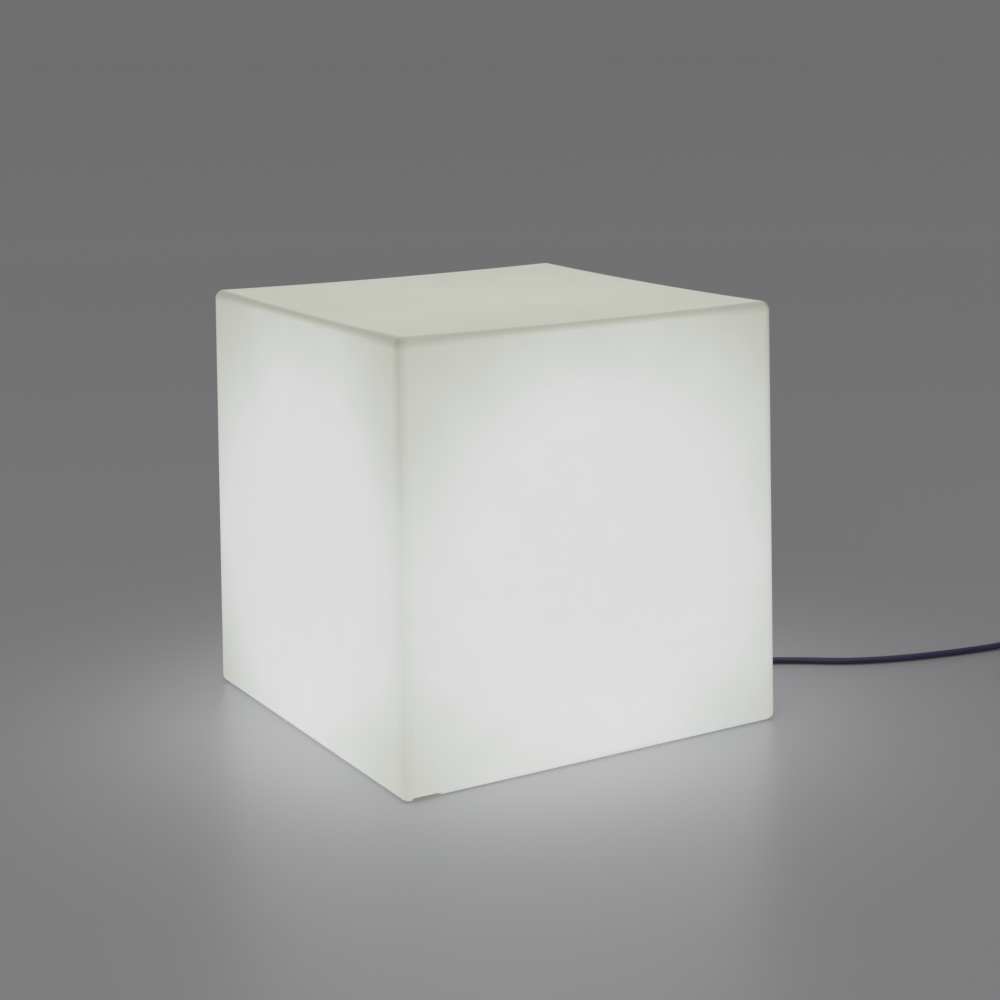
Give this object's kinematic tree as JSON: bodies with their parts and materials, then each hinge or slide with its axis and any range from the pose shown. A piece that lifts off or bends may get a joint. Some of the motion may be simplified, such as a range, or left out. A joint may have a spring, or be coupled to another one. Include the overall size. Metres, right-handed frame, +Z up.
{
  "type": "cube light",
  "caption": "Cube-shaped translucent floor light for a garden or porch, lit by a screw-in bulb, with a rubber cord and a mains plug.",
  "frame": {"origin": "middle of the cube's base, on the floor", "axes": "+Z up out of the cube's top, +X towards the side where the cord comes out, -Y towards the wide face that the picture shows"},
  "size_m": [0.8572, 0.4666, 0.3997],
  "materials": {
    "shell_white": "satin translucent",
    "cover_grey": "fine grain",
    "gasket_rubber": "matt foam",
    "zinc_steel": "zinc plated",
    "yellow_brass": "turned",
    "phenolic_black": "moulded",
    "bronze_leaf": "rolled",
    "nickel_cap": "pressed",
    "cap_glass": "vitrified",
    "bulb_white": "moulded",
    "opal_plastic": "opal",
    "board_green": "lacquered laminate",
    "board_white": "lacquered metal core",
    "led_phosphor": "cast resin",
    "gland_black": "moulded nylon",
    "seal_rubber": "matt",
    "cord_rubber": "satin",
    "core_brown": "extruded",
    "core_blue": "extruded",
    "core_earth": "extruded, green and yellow",
    "tinned_copper": "tin plated",
    "tie_black": "woven",
    "plug_black": "moulded",
    "pin_nickel": "nickel plated"
  },
  "bodies": {
    "light": {"cube_shell": "shell_white", "threaded_inserts": "yellow_brass", "cover_gasket": "gasket_rubber", "base_cover": "cover_grey", "cover_screws": "zinc_steel", "gland_body": "gland_black", "gland_washer": "seal_rubber", "gland_locknut": "gland_black", "gland_seal": "seal_rubber", "gland_nut": "gland_black", "bend_guard": "seal_rubber", "cord_clamp": "gland_black", "clamp_screws": "zinc_steel", "holder_bracket": "zinc_steel", "bracket_screws": "zinc_steel", "earth_screw": "yellow_brass", "nipple": "zinc_steel", "nipple_nut": "zinc_steel", "holder_cap": "phenolic_black", "holder_insert": "phenolic_black", "holder_terminals": "yellow_brass", "terminal_screws": "zinc_steel", "contact_shell": "yellow_brass", "contact_spring": "bronze_leaf", "holder_skirt": "phenolic_black", "inner_sheath": "cord_rubber", "live_wire": "core_brown", "neutral_wire": "core_blue", "earth_wire": "core_earth", "earth_lug": "tinned_copper", "supply_cord": "cord_rubber", "cord_coil": "cord_rubber", "coil_tie": "tie_black", "cord_tail": "cord_rubber", "plug_body": "plug_black", "plug_pins": "pin_nickel", "plug_earth_contacts": "pin_nickel"},
    "bulb_screw": {"bulb_tip": "nickel_cap"},
    "bulb": {"bulb_insulator": "cap_glass", "bulb_cap": "nickel_cap", "bulb_housing": "bulb_white", "driver_board": "board_green", "led_board": "board_white", "led_chips": "led_phosphor", "bulb_diffuser": "opal_plastic"}
  },
  "joints": [
    {"name": "bulb_rise", "type": "slide", "parent": "light", "child": "bulb_screw", "axis": [0, 0, 1], "range_m": [0, 0.0145]},
    {"name": "bulb_turn", "type": "hinge", "parent": "bulb_screw", "child": "bulb", "pos_m": [0, 0, 0.15], "axis": [0, 0, 1], "range_deg": [0, 1440]}
  ],
  "couplings": [
    {"joint": "bulb_rise", "follows": "bulb_turn", "m_per_rad": 0.000576}
  ]
}
